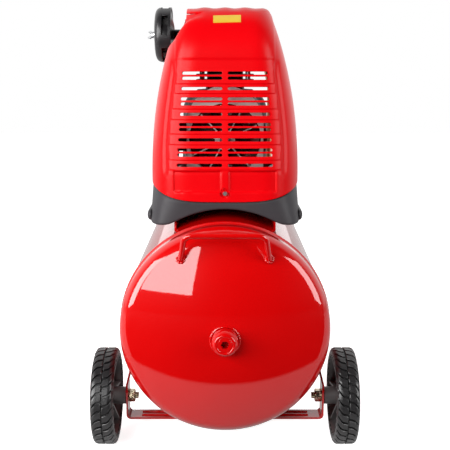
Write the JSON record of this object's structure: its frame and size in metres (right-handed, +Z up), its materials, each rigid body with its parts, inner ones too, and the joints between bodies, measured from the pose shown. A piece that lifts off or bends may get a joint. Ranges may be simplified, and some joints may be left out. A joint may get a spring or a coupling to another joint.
{
  "type": "air compressor",
  "caption": "Wheeled piston air compressor: lying red air tank, slotted red hood over a coaxial motor and pump, dark tray, side intake filter, rear lifting bar.",
  "frame": {"origin": "centre of the footprint on the floor the wheels and feet stand on", "axes": "+Z up, Y along the tank's axis with the wheels at -Y and the controls at +Y, +X to the right seen from the wheel end"},
  "size_m": [0.385, 0.784, 0.653],
  "materials": {
    "red_paint": "gloss",
    "red_plastic": "semi-gloss",
    "red_trim": "gloss",
    "grey_plastic": "satin",
    "black_plastic": "satin",
    "black_tube": "satin",
    "handle_paint": "satin powder coat",
    "tyre_rubber": "moulded solid rubber",
    "rubber": "matte",
    "zinc_steel": "zinc plated",
    "yellow_zinc": "yellow zinc plated",
    "turned_steel": "ground",
    "laminated_steel": "varnished laminations",
    "cast_aluminium": "die cast",
    "cast_iron": "painted black",
    "brass": "machined",
    "copper": "drawn tube",
    "oil_window": "clear with oil behind",
    "clear_lens": "clear",
    "filter_foam": "open-cell foam"
  },
  "bodies": {
    "machine": {"tank_shell": "red_paint", "rear_tank_head": "red_paint", "front_tank_head": "red_paint", "tank_sockets": "red_paint", "rear_bail": "red_paint", "wheel_bracket": "red_paint", "axle_bolts": "yellow_zinc", "foot_bracket": "red_paint", "rubber_feet": "rubber", "fasteners": "zinc_steel", "motor_deck": "red_paint", "base_tray": "grey_plastic", "hood_rear": "red_plastic", "hood_front": "red_plastic", "push_handle": "handle_paint", "handle_grip": "rubber", "motor_electrics": "black_plastic", "motor_lead": "black_tube", "stator": "laminated_steel", "end_shield": "cast_aluminium", "shaft_bearings": "turned_steel", "crankcase": "cast_iron", "crankcase_cover": "cast_aluminium", "sight_glass": "oil_window", "cylinder": "cast_iron", "valve_plate": "zinc_steel", "cylinder_head": "cast_aluminium", "filter_base": "black_plastic", "filter_element": "filter_foam", "filter_cover": "black_plastic", "discharge_pipe": "copper", "check_valve": "brass", "unloader_tube": "black_tube", "manifold": "cast_aluminium", "switch_housing": "black_plastic", "safety_valve": "brass", "regulator_body": "cast_aluminium", "gauge_cases": "black_plastic", "gauge_lenses": "clear_lens", "outlet_coupler": "brass", "drain_valve": "brass"},
    "left_wheel": {"left_tyre": "tyre_rubber", "left_rim": "black_plastic"},
    "right_wheel": {"right_tyre": "tyre_rubber", "right_rim": "black_plastic"},
    "shaft": {"crankshaft": "turned_steel", "rotor": "laminated_steel", "fan": "cast_aluminium"},
    "piston": {"piston": "cast_aluminium", "wrist_pin": "turned_steel"},
    "rod": {"connecting_rod": "cast_aluminium"},
    "switch_knob": {"switch_knob": "red_trim"},
    "regulator_knob": {"regulator_knob": "black_plastic"},
    "tank_needle": {"tank_needle": "red_trim"},
    "line_needle": {"line_needle": "red_trim"},
    "safety_ring": {"safety_ring": "zinc_steel"},
    "coupler_sleeve": {"coupler_sleeve": "zinc_steel"},
    "drain_knob": {"drain_knob": "zinc_steel"},
    "wing_nut": {"wing_nut": "zinc_steel"},
    "oil_plug": {"oil_filler": "red_trim"}
  },
  "joints": [
    {"name": "left_wheel_spin", "type": "hinge", "parent": "machine", "child": "left_wheel", "pos_m": [-0.176, -0.278, 0.071], "axis": [1, 0, 0], "continuous": true},
    {"name": "right_wheel_spin", "type": "hinge", "parent": "machine", "child": "right_wheel", "pos_m": [0.176, -0.278, 0.071], "axis": [1, 0, 0], "continuous": true},
    {"name": "shaft_spin", "type": "hinge", "parent": "machine", "child": "shaft", "pos_m": [0, -0.1, 0.447], "axis": [0, 1, 0], "continuous": true},
    {"name": "piston_slide", "type": "slide", "parent": "machine", "child": "piston", "axis": [0, 0, 1], "range_m": [-0.036, 0]},
    {"name": "rod_swing", "type": "hinge", "parent": "piston", "child": "rod", "pos_m": [0, 0, 0.55], "axis": [0, 1, 0], "range_deg": [-12.2, 12.2]},
    {"name": "switch_knob_lift", "type": "slide", "parent": "machine", "child": "switch_knob", "axis": [0, 0, 1], "range_m": [0, 0.006]},
    {"name": "regulator_knob_turn", "type": "hinge", "parent": "machine", "child": "regulator_knob", "pos_m": [0, 0.261, 0.41], "axis": [0, 0, 1], "range_deg": [0, 1350]},
    {"name": "tank_needle_turn", "type": "hinge", "parent": "machine", "child": "tank_needle", "pos_m": [-0.054, 0.219, 0.379], "axis": [0, -1, 0], "range_deg": [0, 270]},
    {"name": "line_needle_turn", "type": "hinge", "parent": "machine", "child": "line_needle", "pos_m": [0, 0.298, 0.378], "axis": [0, -1, 0], "range_deg": [0, 270]},
    {"name": "safety_ring_pull", "type": "slide", "parent": "machine", "child": "safety_ring", "axis": [1, 0, 0], "range_m": [0, 0.004], "stiffness_N_per_m": 500},
    {"name": "coupler_sleeve_pull", "type": "slide", "parent": "machine", "child": "coupler_sleeve", "axis": [-1, 0, 0], "range_m": [0, 0.0035], "stiffness_N_per_m": 500},
    {"name": "drain_knob_turn", "type": "hinge", "parent": "machine", "child": "drain_knob", "pos_m": [0, 0, 0.02], "axis": [0, 0, 1], "range_deg": [0, 720]},
    {"name": "wing_nut_turn", "type": "hinge", "parent": "machine", "child": "wing_nut", "pos_m": [-0.122, -0.02, 0.608], "axis": [1, 0, 0], "range_deg": [0, 720]},
    {"name": "oil_plug_turn", "type": "hinge", "parent": "machine", "child": "oil_plug", "pos_m": [0.038, 0.05, 0.476], "axis": [0, 1, 0], "range_deg": [0, 720]}
  ]
}
